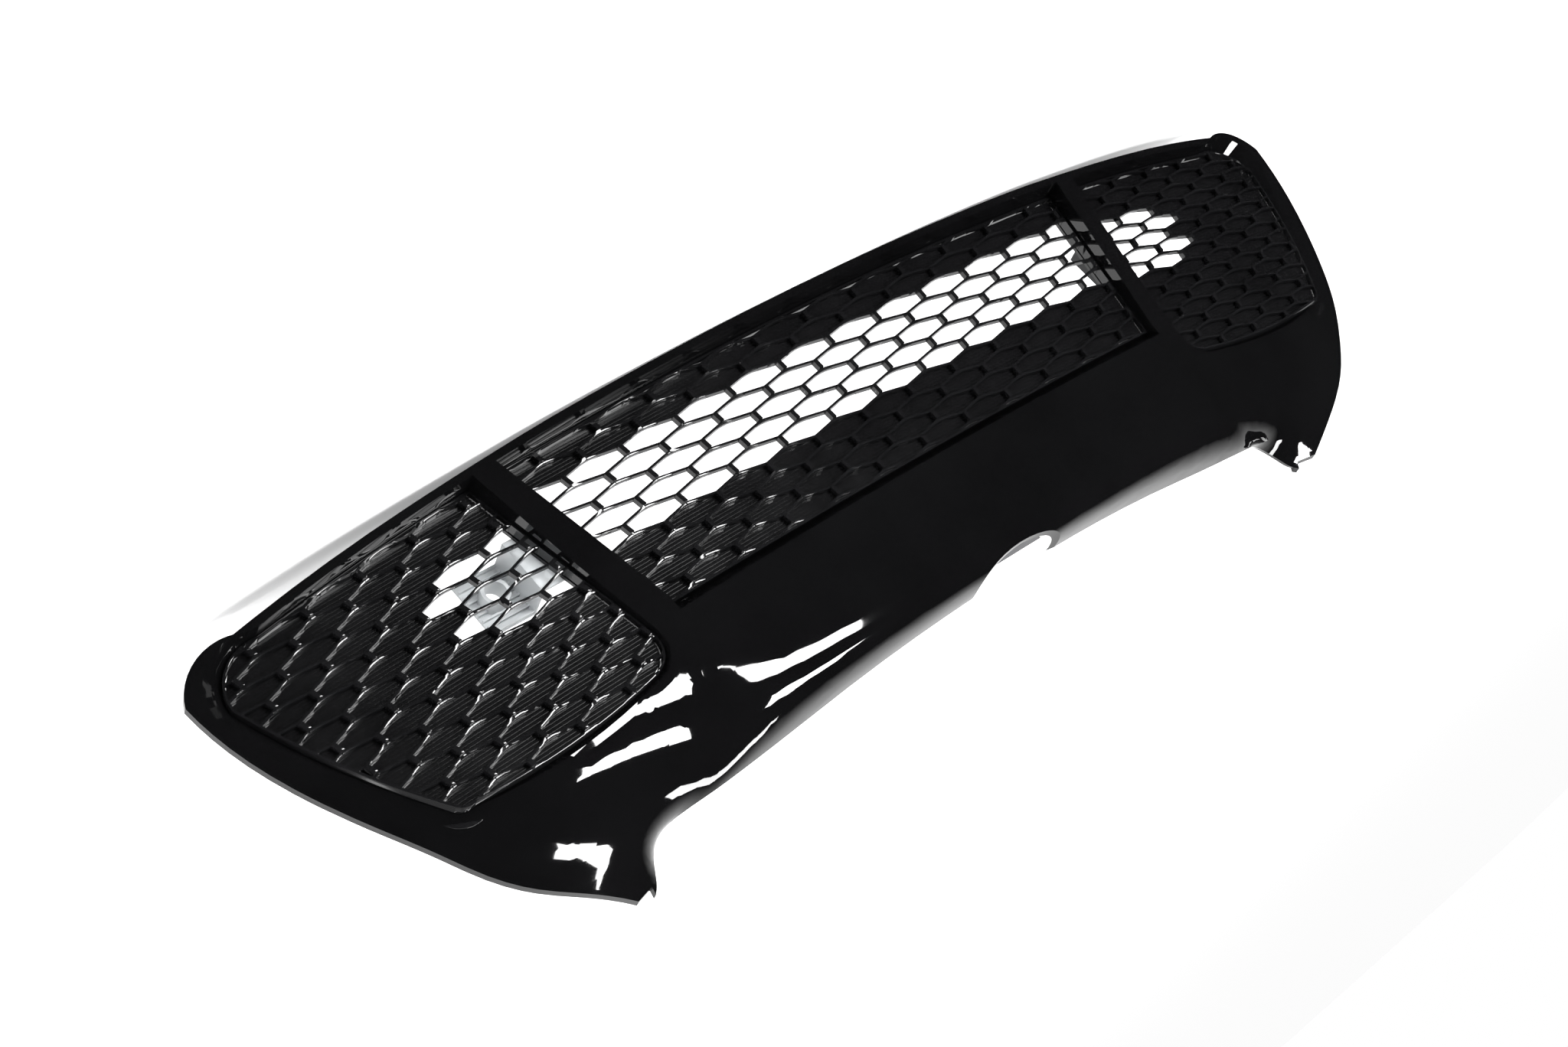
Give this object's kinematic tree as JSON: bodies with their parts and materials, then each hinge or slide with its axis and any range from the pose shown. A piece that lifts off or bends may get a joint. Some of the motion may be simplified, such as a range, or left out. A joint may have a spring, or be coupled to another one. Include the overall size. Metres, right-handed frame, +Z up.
{
  "type": "front grille",
  "caption": "Wide curved vehicle front grille with a gloss surround, three honeycomb inserts, blanking panels, rail and fixings.",
  "frame": {"origin": "centre of the bounding box", "axes": "+Z up as mounted, face towards -Y, +X towards the vehicle's left end"},
  "size_m": [0.999, 0.1048, 0.266],
  "materials": {
    "gloss_black": "high gloss, moulded in black",
    "satin_black": "satin moulded black",
    "panel_black": "satin, fine moulded ribs",
    "zinc": "zinc plated",
    "screw_black": "black zinc",
    "pale_plastic": "natural, slightly translucent",
    "duct_black": "fine grain",
    "rail_grey": "glass-filled, dull",
    "foam": "open-cell foam",
    "rubber": "moulded rubber"
  },
  "bodies": {
    "root": {"surround": "gloss_black", "mesh_centre": "satin_black", "mesh_left": "satin_black", "mesh_right": "satin_black", "blank_centre_lower": "panel_black", "blank_centre_upper": "panel_black", "blank_left": "panel_black", "blank_right": "panel_black", "push_nuts_centre": "zinc", "push_nuts_left": "zinc", "push_nuts_right": "zinc", "insert_screws_centre": "screw_black", "insert_screws_left": "screw_black", "insert_screws_right": "screw_black", "ribbed_bracket": "pale_plastic", "air_deflector": "duct_black", "bar_screws_left": "screw_black", "bar_screws_right": "screw_black", "upper_rail": "rail_grey", "rail_screws": "screw_black", "rail_bushings": "zinc", "foam_seal": "foam", "horn_washers": "rubber"}
  },
  "joints": []
}
